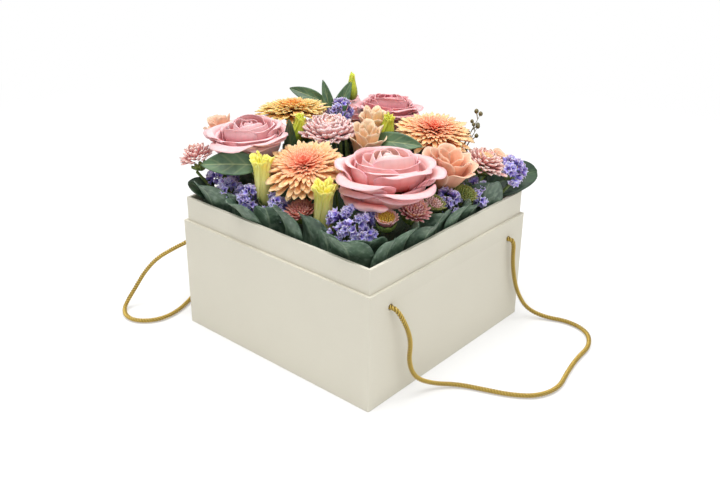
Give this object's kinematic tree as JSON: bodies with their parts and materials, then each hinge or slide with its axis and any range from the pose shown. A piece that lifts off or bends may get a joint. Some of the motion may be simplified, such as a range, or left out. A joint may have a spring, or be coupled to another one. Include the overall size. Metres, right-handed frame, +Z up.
{
  "type": "flower box",
  "caption": "Square paper-covered gift box with a raised neck and two gold rope handles, filled with mixed cut flowers and leaves standing in foam.",
  "frame": {"origin": "middle of the box's underside, on the floor", "axes": "+Z up, -Y towards the front wall, +X towards the right-hand wall, which carries one cord handle"},
  "size_m": [0.3526, 0.257, 0.192],
  "materials": {
    "box_board": "matte",
    "cream_paper": "matte",
    "gold_cord": "satin",
    "liner_film": "satin",
    "wet_foam": "matte",
    "pale_rose": "satin",
    "dusty_rose": "satin",
    "peach_gerbera": "satin",
    "orange_gerbera": "satin",
    "mauve_mum": "satin",
    "pink_mum": "satin",
    "peach_lisianthus": "satin",
    "lime_bud": "satin",
    "violet_statice": "matte",
    "green_stem": "satin",
    "eucalyptus_leaf": "satin",
    "green_leaf": "satin",
    "berry_twig": "satin"
  },
  "bodies": {
    "box": {"base_panel": "box_board", "wall_front": "box_board", "wall_back": "box_board", "wall_left": "box_board", "wall_right": "box_board", "neck_front": "box_board", "neck_back": "box_board", "neck_left": "box_board", "neck_right": "box_board", "wrap_paper": "cream_paper", "neck_paper": "cream_paper", "cord_knots_right": "gold_cord", "cord_knots_left": "gold_cord"},
    "handle_right": {"handle_cord_right": "gold_cord"},
    "handle_left": {"handle_cord_left": "gold_cord"},
    "arrangement": {"liner_tray": "liner_film", "foam_block": "wet_foam", "rose_front": "pale_rose", "rose_left": "dusty_rose", "rose_back": "dusty_rose", "rose_rear": "dusty_rose", "gerbera_front": "peach_gerbera", "gerbera_right": "peach_gerbera", "gerbera_top": "orange_gerbera", "gerbera_rear": "peach_gerbera", "mum_centre": "mauve_mum", "mum_right": "pink_mum", "mum_left": "pink_mum", "mum_rear": "pink_mum", "button_mums": "pink_mum", "lisianthus_centre": "peach_lisianthus", "lisianthus_right": "peach_lisianthus", "lisianthus_left": "peach_lisianthus", "lisianthus_top": "peach_lisianthus", "lisianthus_rear": "peach_lisianthus", "lisianthus_buds": "lime_bud", "statice_front": "violet_statice", "statice_left": "violet_statice", "statice_middle": "violet_statice", "statice_right": "violet_statice", "statice_top": "violet_statice", "statice_rear": "violet_statice", "rose_stems": "green_stem", "gerbera_stems": "green_stem", "mum_stems": "green_stem", "lisianthus_stems": "green_stem", "statice_stems": "green_stem", "eucalyptus_front": "eucalyptus_leaf", "eucalyptus_right": "eucalyptus_leaf", "eucalyptus_back": "eucalyptus_leaf", "eucalyptus_left": "eucalyptus_leaf", "slender_leaves": "green_leaf", "broad_leaves": "green_leaf", "berry_twig_inner": "berry_twig", "berry_twig_outer": "berry_twig"}
  },
  "joints": [
    {"name": "handle_right_swing", "type": "hinge", "parent": "box", "child": "handle_right", "pos_m": [0.105, 0, 0.079], "axis": [0, -1, 0], "range_deg": [0, 110]},
    {"name": "handle_left_swing", "type": "hinge", "parent": "box", "child": "handle_left", "pos_m": [-0.105, 0, 0.079], "axis": [0, 1, 0], "range_deg": [0, 110]},
    {"name": "arrangement_lift", "type": "slide", "parent": "box", "child": "arrangement", "axis": [0, 0, 1], "range_m": [0, 0.12]}
  ]
}
